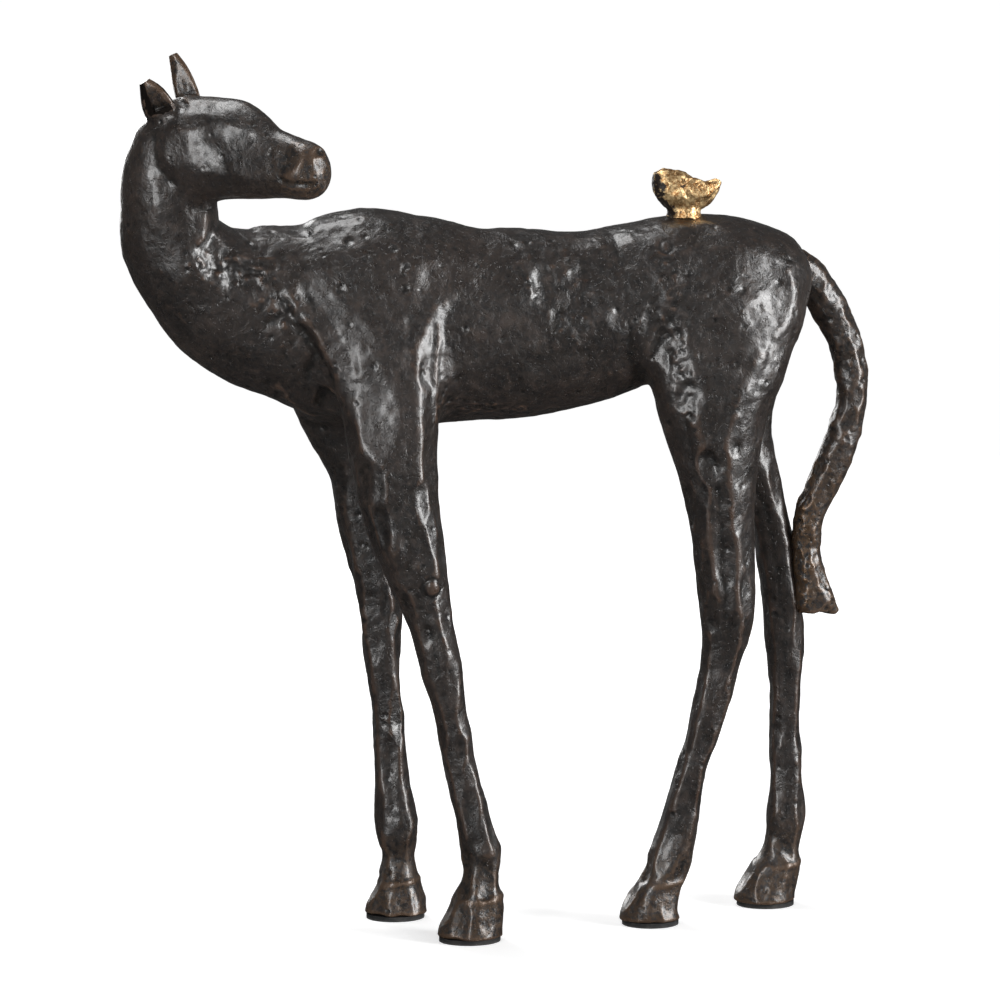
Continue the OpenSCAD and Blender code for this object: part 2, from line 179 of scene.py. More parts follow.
# Bird stations lie around its own foot
BIRD_PLACE = (97, 0, 372)
BIRD_BODY = [
    (18.5, 0, 18, 2, 4), (14.5, 0, 14, 5, 6), (9, 0, 11, 7.5, 8.5), (1, 0, 11.5, 10, 10),
    (-5, 0, 14, 10.5, 9.5), (-9.5, 0, 18, 8.5, 8), (-12, 0, 21.5, 5.5, 6), (-13, 0, 23.5, 3, 3.5),
]
BIRD_WING = [(-3, 0, 15, 2, 1.5), (2, 0, 14.5, 5.5, 2.5), (9, 0, 13.5, 5, 2.5), (16, 0, 15.5, 2, 1.5)]
BIRD_WING_SIDE = 8
BIRD_FOOT = [(0.5, 0, -1.5, 10, 9), (0.5, 0, 2, 8.5, 8), (0.5, 0, 8, 7, 7)]

# ---------------------------------------------------------------------------------------
# Curves and skins


def catmull(a, b, c, d, t):
    """Point at t between b and c on the smooth curve through all four."""
    return 0.5 * (
        2 * b
        + (c - a) * t
        + (2 * a - 5 * b + 4 * c - d) * t**2
        + (3 * b - a - 3 * c + d) * t**3
    )


RINGS_PER_SPAN = 6


def smooth_run(stations):
    """Stations with smooth ones added between them."""
    run = np.array(stations, float)
    padded = np.vstack([run[:1], run, run[-1:]])
    fine = [
        catmull(*padded[i : i + 4], j / RINGS_PER_SPAN)
        for i in range(len(run) - 1)
        for j in range(RINGS_PER_SPAN)
    ]
    return np.array(fine + [run[-1]])


def unit(v):
    """The same direction with a length of 1."""
    return np.asarray(v) / np.linalg.norm(v)


def headings(run):
    """Directions along a run, one at each ring."""
    ahead = np.vstack([run[1:, :3], run[-1:, :3]])
    behind = np.vstack([run[:1, :3], run[:-1, :3]])
    step = ahead - behind
    return step / np.linalg.norm(step, axis=1)[:, None]


def loft(stations, sideways=SIDEWAYS, sides=48, flat_end=False):
    """Closed skin of oval rings: its points, its quads and the triangles of its two caps."""
    run = smooth_run(stations)
    along = headings(run)
    if flat_end:
        along[-1] = (0, 0, -1)
    angle = np.linspace(0, 2 * math.pi, sides, endpoint=False)
    rings = []
    for station, way in zip(run, along):
        v = unit(sideways - sideways @ way * way)
        u = np.cross(way, v)
        across = np.outer(np.cos(angle) * station[3], u) + np.outer(np.sin(angle) * station[4], v)
        rings.append(station[:3] + across)
    points = np.vstack(rings + [run[:1, :3], run[-1:, :3]])
    here = np.arange(sides)
    there = (here + 1) % sides
    quads = []
    for low in range(0, (len(rings) - 1) * sides, sides):
        high = low + sides
        quads.append(np.stack([low + here, high + here, high + there, low + there], 1))
    first = len(rings) * sides
    top = first - sides
    caps = [
        np.stack([np.full(sides, first), here, there], 1),
        np.stack([np.full(sides, first + 1), top + there, top + here], 1),
    ]
    return points, np.vstack(quads), np.vstack(caps)


def moved(stations, shift, shrink=0.0):
    """The same stations somewhere else, with metal taken off all round."""
    run = np.array(stations, float)
    run[:, :3] += shift
    run[:, 3:] = np.maximum(run[:, 3:] - shrink, 0.4)
    return run


def line_distance(places, line):
    """Distance from each place to a line through points."""
    if len(line) == 1:
        return np.linalg.norm(places - line[0], axis=1)
    best = np.full(len(places), np.inf)
    for a, b in zip(line[:-1], line[1:]):
        span = b - a
        t = np.clip((places - a) @ span / (span @ span), 0, 1)
        best = np.minimum(best, np.linalg.norm(places - a - t[:, None] * span, axis=1))
    return best


def lattice(places, cell, seed):
    """Smooth random heights between -1 and 1, about one hill per cell."""
    table = np.random.default_rng(seed).uniform(-1, 1, (32, 32, 32))
    p = places / cell + 7.3 * seed
    i = np.floor(p).astype(int)
    f = p - i
    f = f * f * (3 - 2 * f)
    total = 0.0
    for corner in CORNERS:
        weight = np.prod(np.where(corner, f, 1 - f), axis=1)
        j = (i + corner) % 32
        total = total + weight * table[j[:, 0], j[:, 1], j[:, 2]]
    return total


CORNERS = [np.array([c & 1, c >> 1 & 1, c >> 2 & 1]) for c in range(8)]


def smooth_step(low, high, values):
    """Eases from 0 at low to 1 at high."""
    t = np.clip((values - low) / (high - low), 0, 1)
    return t * t * (3 - 2 * t)


# ---------------------------------------------------------------------------------------
# Clay


class Clay:
    """A box of distances in millimetres, negative inside the metal."""

    FAR = 14.0
    SKIN = 5.0

    def __init__(self, low, high, voxel):
        self.voxel = voxel
        self.first = np.floor(np.array(low) / voxel).astype(int)
        last = np.ceil(np.array(high) / voxel).astype(int)
        self.d = np.full(tuple(last - self.first + 1), self.FAR, np.float32)

    def _block(self, skin):
        """Distances around one skin, and the part of the grid that they cover."""
        points, quads, caps = skin
        first = np.floor((points.min(0) - self.FAR) / self.voxel).astype(int)
        last = np.ceil((points.max(0) + self.FAR) / self.voxel).astype(int)
        first = np.maximum(first, self.first)
        last = np.minimum(last, self.first + np.array(self.d.shape) - 1)
        grid = vdb.FloatGrid.createLevelSetFromPolygons(
            points.astype(np.float32),
            triangles=caps.astype(np.uint32),
            quads=quads.astype(np.uint32),
            transform=vdb.createLinearTransform(voxelSize=self.voxel),
            halfWidth=self.FAR / self.voxel,
        )
        block = np.empty(tuple(last - first + 1), np.float32)
        grid.copyToArray(block, ijk=tuple(int(v) for v in first))
        start = first - self.first
        stop = last - self.first + 1
        return block, tuple(slice(a, b) for a, b in zip(start, stop))

    def add(self, skin, blend):
        """Lays a limb on and smooths the join over the blend distance."""
        block, where = self._block(skin)
        old = self.d[where]
        near = np.maximum(blend - np.abs(old - block), 0)
        self.d[where] = np.minimum(old, block) - near**2 / (4 * blend)

    def cut(self, skin, blend):
        """Takes a shape away and smooths its rim over the blend distance."""
        block, where = self._block(skin)
        old = self.d[where]
        near = np.maximum(blend - np.abs(old + block), 0)
        self.d[where] = np.maximum(old, -block) + near**2 / (4 * blend)

    def reach(self, low, high, band=SKIN):
        """Grid places near the skin inside a box: their indices and where they are."""
        shape = np.array(self.d.shape)
        start = np.floor(np.array(low) / self.voxel).astype(int) - self.first
        stop = np.ceil(np.array(high) / self.voxel).astype(int) - self.first + 1
        start = np.clip(start, 0, shape)
        stop = np.clip(stop, 0, shape)
        block = self.d[tuple(slice(a, b) for a, b in zip(start, stop))]
        index = np.stack(np.nonzero(np.abs(block) < band), 1) + start
        return tuple(index.T), (index + self.first) * self.voxel

    def all_skin(self, band=SKIN):
        """Grid places near the skin anywhere in the box."""
        low = self.first * self.voxel
        return self.reach(low, low + np.array(self.d.shape) * self.voxel, band)

    def mark(self, line, width, height, power=1.5):
        """Raises a ridge along a line, or presses a crease in where height is negative."""
        line = np.array(line, float)
        where, places = self.reach(line.min(0) - width, line.max(0) + width)
        t = line_distance(places, line) / width
        self.d[where] -= height * np.clip(1 - t, 0, 1) ** power

    def bump(self, place, width, height):
        """Raises a round lump, or presses a dent in where height is negative."""
        place = np.array(place, float)
        where, places = self.reach(place - width, place + width)
        t = line_distance(places, [place]) / width
        self.d[where] -= height * np.clip(1 - t * t, 0, 1) ** 2

    def pare(self, place, size, depth, way=None, stretch=(1, 1, 1)):
        """Cuts a nearly flat facet off the skin, less and less towards its edge."""
        place = np.array(place, float)
        way = self.normals(place[None])[0] if way is None else unit(way)
        box = FACET_EDGE * size * np.array(stretch)
        where, places = self.reach(place - box, place + box, self.SKIN + depth)
        offset = places - place
        up = offset @ way
        far = np.linalg.norm(offset / np.array(stretch), axis=1) / size
        plane = up + depth * (1 - far**2)
        old = self.d[where]
        near = np.maximum(self.voxel - np.abs(old - plane), 0)
        flat = np.maximum(old, plane) + near**2 / (4 * self.voxel)
        fade = smooth_step(FACET_EDGE, FACET_FULL, far) * smooth_step(RISE_END, RISE_START, up)
        self.d[where] = old + fade * (flat - old)

    def plane_off(self, places, size, depth, way, stretch=(1, 1, 1)):
        """Pares a band of facets that all lean towards one way."""
        for place, own in zip(places, self.normals(np.array(places))):
            lean = own + LEAN * unit(way)
            self.pare(place, size, depth, lean, stretch)

    def knead(self, count, size, depth, seed, stretch=(1, 1, 1), top=math.inf):
        """Pares facets off in places picked by chance, where the skin doesn't bend inwards."""
        chance = np.random.default_rng(seed)
        _, places = self.all_skin(self.voxel / 2)
        clear = line_distance(places, [seat(SPINE, HEAD_CUT)[0]]) > SEAM_CLEAR
        places = places[(places[:, 2] < top) & clear]
        places = places[chance.integers(len(places), size=count)]
        for place, bulge in zip(places, self.bulge(places, size / 3)):
            scale = chance.uniform(0.45, 1.0)
            if bulge > 0:
                self.pare(place, size * scale, depth * scale, stretch=stretch)

    def pit(self, count, size, depth, seed):
        """Presses small dents in, in places picked by chance."""
        chance = np.random.default_rng(seed)
        _, places = self.all_skin(self.voxel / 2)
        for i in chance.integers(len(places), size=count):
            scale = chance.uniform(0.5, 1.0)
            self.bump(places[i], size * scale, -depth * scale)

    def wrinkle(self, line, width, height, cell, seed, stretch=(1, 1, 1)):
        """Roughens the skin along a line, with short sharp folds."""
        line = np.array(line, float)
        where, places = self.reach(line.min(0) - width, line.max(0) + width)
        t = line_distance(places, line) / width
        fold = 0.5 - np.abs(lattice(places / np.array(stretch), cell, seed))
        fold += 0.4 * lattice(places, cell * 0.45, seed + 1)
        self.d[where] -= height * fold * np.clip(1.6 * (1 - t), 0, 1)

    def lump(self, sizes):
        """Uneven all over: pairs of hill size and height."""
        where, places = self.all_skin()
        for seed, (cell, height) in enumerate(sizes, 1):
            self.d[where] -= (height * lattice(places, cell, seed)).astype(np.float32)

    def floor(self, height):
        """Cuts everything below a height off flat."""
        levels = (np.arange(self.d.shape[2]) + self.first[2]) * self.voxel
        np.maximum(self.d, (height - levels).astype(np.float32), out=self.d)

    def skin(self):
        """Mesh of the skin."""
        rim = 3 * self.voxel
        grid = vdb.FloatGrid(rim)
        grid.transform = vdb.createLinearTransform(voxelSize=self.voxel)
        grid.copyFromArray(np.clip(self.d, -rim, rim), ijk=tuple(int(v) for v in self.first))
        return grid.convertToPolygons(isovalue=0.0, adaptivity=0.0)

    def sample(self, places):
        """Distances at any places, mixed from the eight nearest grid places."""
        p = places / self.voxel - self.first
        p = np.clip(p, 0, np.array(self.d.shape) - 1.001)
        i = np.floor(p).astype(int)
        f = p - i
        total = np.zeros(len(p))
        for corner in CORNERS:
            weight = np.prod(np.where(corner, f, 1 - f), axis=1)
            j = i + corner
            total += weight * self.d[j[:, 0], j[:, 1], j[:, 2]]
        return total

    def normals(self, places):
        """Outward directions at places on the skin."""
        step = self.voxel * np.eye(3)
        slope = [self.sample(places + axis) - self.sample(places - axis) for axis in step]
        slope = np.stack(slope, 1)
        return slope / np.maximum(np.linalg.norm(slope, axis=1), 1e-9)[:, None]

    def bulge(self, places, step):
        """How far the skin bulges: above 0 on ridges, below 0 in creases."""
        around = sum(
            self.sample(places + way * axis) for axis in step * np.eye(3) for way in (-1, 1)
        )
        return around / 6 - self.sample(places)

    def meet(self, start, way, length=110.0):
        """Where a straight line first reaches the skin."""
        places = np.asarray(start) + np.arange(0, length, self.voxel / 2)[:, None] * way
        return places[np.argmax(self.sample(places) < 0)]


# Where a pared facet starts and ends to fade out, in its own sizes
FACET_FULL = 0.6
FACET_EDGE = 1.3

# How far banded facets lean from the skin's own direction to the one given
LEAN = 0.45

# Kneading stays this far from the middle of the head's seam, where two grids meet
SEAM_CLEAR = 36.0

# Skin that rises above a facet's plane is pared less from the first height in millimetres,
# and left alone from the second
RISE_START = 2.0
RISE_END = 5.0


def on_flank(clay, side, spots):
    """Places on the skin at each x and z, seen from the left (-1) or the right (1)."""
    return [clay.meet((x, side * 56, z), (0, -side, 0)) for x, z in spots]


def on_face(clay, side, spots):
    """Places on the head at each distance forwards and height, seen from one side."""
    start = HEAD_BACK + 30 * side * HEAD_SIDEWAYS
    return [
        clay.meet(start + x * HEAD_FORWARDS + np.array([0, 0, z]), -side * HEAD_SIDEWAYS, 60)
        for x, z in spots
    ]


def ring_of_spots(x, z, radius, count=8):
    """Spots on a small circle."""
    turns = np.linspace(0, 2 * math.pi, count + 1)
    return [(x + radius * math.cos(t), z + radius * math.sin(t)) for t in turns]


# ---------------------------------------------------------------------------------------
# Mesh pieces


def new_skin(clay):
    """Editable mesh of the clay's skin."""
    points, triangles, quads = clay.skin()
    mesh = bpy.data.meshes.new("skin")
    mesh.vertices.add(len(points))
    mesh.vertices.foreach_set("co", points.astype(np.float32).ravel())
    loops = np.concatenate([quads.ravel(), triangles.ravel()]).astype(np.int32)
    counts = np.concatenate([np.full(len(quads), 4), np.full(len(triangles), 3)])
    starts = np.concatenate([[0], np.cumsum(counts)[:-1]]).astype(np.int32)
    mesh.loops.add(len(loops))
    mesh.loops.foreach_set("vertex_index", loops)
    mesh.polygons.add(len(counts))
    mesh.polygons.foreach_set("loop_start", starts)
    mesh.update(calc_edges=True)
    skin = bmesh.new()
    skin.from_mesh(mesh)
    bpy.data.meshes.remove(mesh)
    return skin


def saw(skin, point, way, width):
    """Saws a limb through and leaves its two sides apart."""
    point = Vector(point)
    faces = [f for f in skin.faces if (f.verts[0].co - point).length < width]
    edges = list({e for f in faces for e in f.edges})
    verts = list({v for f in faces for v in f.verts})
    done = bmesh.ops.bisect_plane(
        skin, geom=verts + edges + faces, plane_co=point, plane_no=Vector(way), dist=1e-4
    )
    cut = [e for e in done["geom_cut"] if isinstance(e, bmesh.types.BMEdge)]
    bmesh.ops.split_edges(skin, edges=cut)


def islands(skin):
    """Groups of faces that hang together, the largest first."""
    seen = set()
    groups = []
    for face in skin.faces:
        if face in seen:
            continue
        seen.add(face)
        group = [face]
        for member in group:
            for edge in member.edges:
                for other in edge.link_faces:
                    if other not in seen:
                        seen.add(other)
                        group.append(other)
        groups.append(group)
    return sorted(groups, key=len, reverse=True)


def pieces_of(skin, count):
    """The largest islands, once crumbs that the saw left loose are back on their neighbours."""
    groups = islands(skin)
    rim = list({v for group in groups[:count] for f in group for v in f.verts if v.is_boundary})
    tree = KDTree(len(rim))
    for i, vert in enumerate(rim):
        tree.insert(vert.co, i)
    tree.balance()
    twins = {}
    for crumb in groups[count:]:
        for vert in {v for f in crumb for v in f.verts if v.is_boundary}:
            _, i, gap = tree.find(vert.co)
            if gap < SAW_GAP:
                twins[vert] = rim[i]
    bmesh.ops.weld_verts(skin, targetmap=twins)
    return islands(skin)[:count]


SAW_GAP = 1e-3


def rims(faces):
    """Faces that close each open rim."""
    edges = {edge for row in faces for edge in zip(row, row[1:] + row[:1])}
    after = {b: a for a, b in edges if (b, a) not in edges}
    loops = []
    while after:
        start, here = after.popitem()
        loop = [start]
        while here != start:
            loop.append(here)
            here = after.pop(here)
        loops.append(loop)
    return loops


def middle_of(group):
    """Rough middle of a group of faces."""
    return np.mean([f.verts[0].co[:] for f in group[::20]], axis=0)


def casting(name, group, clay, material, rub):
    """Closed mesh piece from a group of faces, in the frame's place and in metres."""
    index = {}
    faces = [[index.setdefault(v, len(index)) for v in face.verts] for face in group]
    points = np.array([v.co[:] for v in index])
    mesh = bpy.data.meshes.new(name)
    mesh.from_pydata(points.tolist(), [], faces + rims(faces))
    mesh.shade_smooth()
    mesh.normals_split_custom_set_from_vertices(clay.normals(points))
    wear = np.clip(0.5 + WEAR_GAIN * clay.bulge(points, WEAR_STEP), 0, 1)
    for label, values in (("wear", wear), ("rub", rub(points))):
        layer = mesh.attributes.new(label, "FLOAT", "POINT")
        layer.data.foreach_set("value", values.astype(np.float32))
    mesh.transform(Matrix.Translation((0, MIDDLE_Y, 0)) @ Matrix.Scale(METRES, 4))
    mesh.materials.append(material)
    piece = bpy.data.objects.new(name, mesh)
    bpy.context.scene.collection.objects.link(piece)
    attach(piece, "root")
    return piece


WEAR_STEP = 2.0
WEAR_GAIN = 2.2


def seat(stations, cut):
    """Middle and direction of the seat between two castings."""
    run = smooth_run(stations)
    ring = cut * RINGS_PER_SPAN
    return run[ring, :3], headings(run)[ring]


# ---------------------------------------------------------------------------------------
# Materials


class Look:
    """A material and short ways to add nodes to it."""

    def __init__(self, name):
        self.material = bpy.data.materials.new(name)
        self.material.use_nodes = True
        self.nodes = self.material.node_tree.nodes
        self.links = self.material.node_tree.links
        self.shader = self.nodes["Principled BSDF"]
        self.place = self.nodes.new("ShaderNodeTexCoord").outputs["Object"]

    def node(self, kind, inputs, **settings):
        node = self.nodes.new(kind)
        for key, value in settings.items():
            setattr(node, key, value)
        for key, value in inputs.items():
            self.feed(node.inputs[key], value)
        return node

    def feed(self, socket, value):
        """Links another node's output to a socket, or sets a plain value on it."""
        if isinstance(value, bpy.types.NodeSocket):
            self.links.new(value, socket)
        else:
            socket.default_value = value

    def noise(self, size, detail=4.0, roughness=0.55, twist=0.0):
        """Noise with features of a size in millimetres."""
        inputs = {
            "Vector": self.place,
            "Scale": 1000 / size,
            "Detail": detail,
            "Roughness": roughness,
            "Distortion": twist,
        }
        return self.node("ShaderNodeTexNoise", inputs).outputs["Fac"]

    def ramp(self, value, low, high, to_low=0.0, to_high=1.0):
        """Value mapped from one range to another and held there."""
        inputs = {
            "Value": value,
            "From Min": low,
            "From Max": high,
            "To Min": to_low,
            "To Max": to_high,
        }
        return self.node("ShaderNodeMapRange", inputs).outputs["Result"]

    def maths(self, operation, a, b):
        return self.node("ShaderNodeMath", {0: a, 1: b}, operation=operation).outputs[0]

    def mix(self, amount, a, b):
        """Colour between a and b."""
        node = self.nodes.new("ShaderNodeMix")
        node.data_type = "RGBA"
        for socket, value in zip(MIX_INPUTS, (amount, a, b)):
            self.feed(node.inputs[socket], value)
        return node.outputs[MIX_OUTPUT]

    def attribute(self, name):
        return self.node("ShaderNodeAttribute", {}, attribute_name=name).outputs["Fac"]

    def bumps(self, layers):
        """Relief from pairs of a height and its depth in millimetres."""
        normal = None
        for height, depth in layers:
            inputs = {"Height": height, "Distance": depth / 1000}
            if normal:
                inputs["Normal"] = normal
            normal = self.node("ShaderNodeBump", inputs).outputs["Normal"]
        self.links.new(normal, self.shader.inputs["Normal"])

    def set(self, **inputs):
        for key, value in inputs.items():
            self.feed(self.shader.inputs[key.replace("_", " ")], value)


# The colour sockets of a mix node: factor, a, b and the result
MIX_INPUTS = (0, 6, 7)
MIX_OUTPUT = 2

# Colours of the patina, from the hollows up to bare metal
DARK_BROWN = (0.0095, 0.0080, 0.0076, 1)
MID_BROWN = (0.017, 0.0130, 0.0115, 1)
WARM_BROWN = (0.060, 0.034, 0.022, 1)
CREVICE_BLACK = (0.004, 0.0037, 0.0035, 1)
BARE_BRONZE = (0.24, 0.15, 0.088, 1)

# Colours of the gilding and of what shows through where it's worn
UNDER_LEAF = (0.022, 0.014, 0.010, 1)
DEEP_GOLD = (0.42, 0.20, 0.07, 1)
BRIGHT_GOLD = (0.97, 0.73, 0.40, 1)

BLACK_RUBBER = (0.012, 0.012, 0.012, 1)
DUSTY_RUBBER = (0.035, 0.032, 0.030, 1)
DARK_STEEL = (0.42, 0.41, 0.40, 1)
LIGHT_STEEL = (0.58, 0.57, 0.55, 1)


def bronze():
    """Brown-black patina under lacquer, rubbed through to warm metal on edges and feet."""
    look = Look("bronze")
    wear = look.attribute("wear")
    rub = look.attribute("rub")
    clouds = look.noise(45, 3)
    mottle = look.noise(7, 5, 0.6, 0.6)
    grain = look.noise(0.9, 3, 0.6)
    dark = look.mix(look.ramp(clouds, 0.4, 0.65), DARK_BROWN, MID_BROWN)
    brown = look.ramp(mottle, 0.52, 0.72)
    edge = look.ramp(wear, 0.70, 1.05)
    warm = look.maths("MAXIMUM", look.maths("MULTIPLY", brown, 0.45), edge)
    patina = look.mix(look.maths("MULTIPLY", warm, 0.7), dark, WARM_BROWN)
    crevice = look.ramp(wear, 0.42, 0.25)
    patina = look.mix(look.maths("MULTIPLY", crevice, 0.8), patina, CREVICE_BLACK)
    speck = look.ramp(look.noise(2.6, 5, 0.65, 0.4), 0.60, 0.46)
    bare = look.maths("MULTIPLY", rub, look.ramp(look.maths("ADD", edge, speck), 0.35, 1.25))
    colour = look.mix(bare, patina, BARE_BRONZE)
    rough = look.ramp(mottle, 0.3, 0.7, 0.26, 0.44)
    rough = look.maths("ADD", rough, look.ramp(grain, 0.3, 0.7, -0.05, 0.06))
    look.set(Base_Color=colour, Roughness=rough, IOR=1.65, Coat_Weight=0.45, Coat_Roughness=0.16)
    look.set(Metallic=look.ramp(bare, 0.0, 0.6, 0.0, 0.9))
    pores = look.ramp(look.noise(1.6, 2, 0.5), 0.30, 0.37)
    look.bumps([(look.noise(5, 4, 0.6, 0.8), 0.55), (grain, 0.10), (pores, 0.22)])
    return look.material


def gold_leaf():
    """Bright rough leaf, worn to dark brown in the hollows and on the bird's front."""
    look = Look("gold_leaf")
    wear = look.attribute("wear")
    gilt = look.attribute("rub")
    patches = look.noise(4.5, 5, 0.65, 0.8)
    fine = look.noise(1.1, 4, 0.6)
    worn = look.ramp(wear, 0.3, 0.8, -0.25, 0.3)
    patchy = look.ramp(patches, 0.3, 0.7, -0.45, 0.4)
    leaf = look.maths("ADD", worn, patchy)
    leaf = look.ramp(look.maths("ADD", gilt, leaf), 0.42, 0.62)
    tone = look.maths("ADD", look.maths("MULTIPLY", fine, 0.5), look.maths("MULTIPLY", patches, 0.5))
    gold = look.mix(look.ramp(tone, 0.42, 0.58), DEEP_GOLD, BRIGHT_GOLD)
    look.set(Base_Color=look.mix(leaf, UNDER_LEAF, gold))
    look.set(Metallic=look.ramp(leaf, 0, 1, 0.3, 1.0))
    look.set(Roughness=look.ramp(patches, 0.3, 0.7, 0.36, 0.56))
    look.bumps([(patches, 0.25), (fine, 0.12)])
    return look.material


def rubber():
    """Matt dark rubber of the pads, dusty in places."""
    look = Look("pad_rubber")
    dust = look.ramp(look.noise(6, 4), 0.45, 0.7)
    look.set(Base_Color=look.mix(dust, BLACK_RUBBER, DUSTY_RUBBER))
    look.set(Roughness=look.ramp(look.noise(1.5), 0.3, 0.7, 0.65, 0.85))
    look.bumps([(look.noise(0.7, 3), 0.08)])
    return look.material


def steel():
    """Ground steel of the pins and the stud, with fine turning marks."""
    look = Look("steel")
    marks = look.noise(0.5, 3)
    look.set(Base_Color=look.mix(marks, DARK_STEEL, LIGHT_STEEL))
    look.set(Metallic=1.0, Roughness=look.ramp(marks, 0.3, 0.7, 0.22, 0.38))
    look.bumps([(marks, 0.03)])
    return look.material


BRONZE = bronze()
GOLD_LEAF = gold_leaf()
RUBBER = rubber()
STEEL = steel()


def dress_frame():
    """Gives the frame's own nodes that stay their materials."""
    for name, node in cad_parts.items():
        if name.startswith("pad"):
            fresh = RUBBER
        elif "_pin" in name or name == "bird_stud":
            fresh = STEEL
        else:
            continue
        for slot in node.material_slots:
            slot.material = fresh


# ---------------------------------------------------------------------------------------
# Where the patina is rubbed through, from 0 to 1

MUZZLE = np.array([-101.0, -73.0, 396.0])
GILDING_SPILT = np.array([98.0, -11.0, 371.0])

# How far the rubbing goes on each part
HOOF_RUB = 0.32
LEG_RUB = 0.04
HEAD_RUB = 0.05
MUZZLE_RUB = 0.18
EAR_RUB = 0.25
TAIL_RUB = 0.12
LOW_TAIL_RUB = 0.15
INNER_TAIL_RUB = 0.4


def body_rub(places):
    """Hooves and fetlocks, and a little gilding spilt below the bird."""
    hooves = HOOF_RUB - (HOOF_RUB - LEG_RUB) * smooth_step(10, 60, places[:, 2])
    spilt = 1 - smooth_step(4, 10, np.linalg.norm(places - GILDING_SPILT, axis=1))
    return np.maximum(hooves, spilt)


def head_rub(places):
    """Muzzle and ears."""
    muzzle = 1 - smooth_step(8, 38, np.linalg.norm(places - MUZZLE, axis=1))
    ears = smooth_step(424, 440, places[:, 2]) * smooth_step(-140, -160, places[:, 0])
    return HEAD_RUB + MUZZLE_RUB * muzzle + EAR_RUB * ears


def tail_rub(places):
    """Lower half of the tail, most of all towards the leg."""
    low = smooth_step(260, 210, places[:, 2])
    inner = smooth_step(174, 166, places[:, 0])
    return TAIL_RUB + low * (LOW_TAIL_RUB + INNER_TAIL_RUB * inner)


def bird_rub(places):
    """Leaf all over but for the bird's front and lower breast."""
    x, _, z = (places - np.array(BIRD_PLACE)).T
    front = smooth_step(-11.5, -15, x + 0.3 * (z - 20))
    breast = smooth_step(10, 3, z) * smooth_step(-3, -8, x)
    return np.clip(1.0 - 0.9 * front - 0.7 * breast, 0, 1)


# ---------------------------------------------------------------------------------------
# Joins and unevenness

# Distance over which each limb is smoothed into the clay that's there already
FIRST_BLEND = 1.0
LEG_BLEND = 13.0
HEAD_BLEND = 10.0
EAR_BLEND = 3.5
TAIL_POINT_BLEND = 4.0
WING_BLEND = 1.5
FOOT_BLEND = 2.0

# Metal left around the hollow of an ear, and how soft its rim is
EAR_RIM = 1.4
EAR_RIM_BLEND = 2.5

# Hill sizes and heights. The body and the head share the broad ones, so that they meet
BROAD_HILLS = [(30, 1.0), (13, 0.4)]
BODY_HILLS = [(6, 0.22), (3.2, 0.16)]
HEAD_HILLS = [(6, 0.12), (3.2, 0.10)]
BROAD_TAIL_HILLS = [(14, 0.6), (7, 0.5)]
TAIL_HILLS = [(3.5, 0.3), (1.9, 0.15)]
BROAD_BIRD_HILLS = [(7, 0.35), (3, 0.2)]
BIRD_HILLS = [(1.3, 0.14)]

# How far around its point each saw cut reaches, and how far an ear is cut above its root
NECK_SAW = 62
HEAD_SAW = 36
LEG_SAW = 32
EAR_SAW = 13
EAR_ROOT = 6

# ---------------------------------------------------------------------------------------
# Body
#
# Places on a flank are pairs of x and z. A mark has a line, a width, a height and how sharp
# it is, a bump has a place, a width and a height, and a facet has a place, a size and a depth.

SHOULDER_RIDGE = {
    -1: [(-112, 330), (-104, 316), (-96, 303), (-89, 289), (-82, 272), (-77, 256), (-71, 238), (-62, 205)],
    1: [(-122, 330), (-116, 312), (-110, 294), (-103, 278), (-88, 254), (-80, 236), (-76, 205)],
}
ELBOW_RIDGE = {
    -1: [(-35, 334), (-45, 319), (-51, 306), (-50, 290), (-49, 265), (-48, 242), (-44, 215), (-41, 190)],
    1: [(-50, 334), (-57, 310), (-58, 285), (-57, 262), (-57, 238), (-57, 215)],
}
THIGH_RIDGE = {
    -1: [(95, 270), (99, 250), (102, 230), (105, 201), (109, 175)],
    1: [(118, 270), (128, 250), (138, 230), (148, 201), (154, 175)],
}
THIGH_EDGE = {
    -1: [(128, 300), (116, 276), (111, 258), (114, 232), (118, 200), (120, 168)],
    1: [(146, 290), (142, 268), (148, 245), (154, 225), (160, 200), (163, 170)],
}
HAUNCH_FLAT = [(130, 338), (135, 326)]
HAUNCH_EDGE = [(147, 344), (148, 332), (145, 320), (138, 311)]
THIGH_BAND = [(66, 355), (72, 342), (74, 328), (78, 314), (83, 300), (88, 286), (93, 272)]
SHOULDER_BAND = {
    -1: [(-114, 322), (-106, 306), (-98, 292), (-90, 276), (-83, 258), (-76, 238), (-68, 214)],
    1: [(-122, 318), (-112, 296), (-104, 280), (-90, 256), (-84, 238), (-78, 214)],
}
FLANK_CREASE = [(57, 364), (59, 345), (60, 325), (63, 300), (69, 289)]


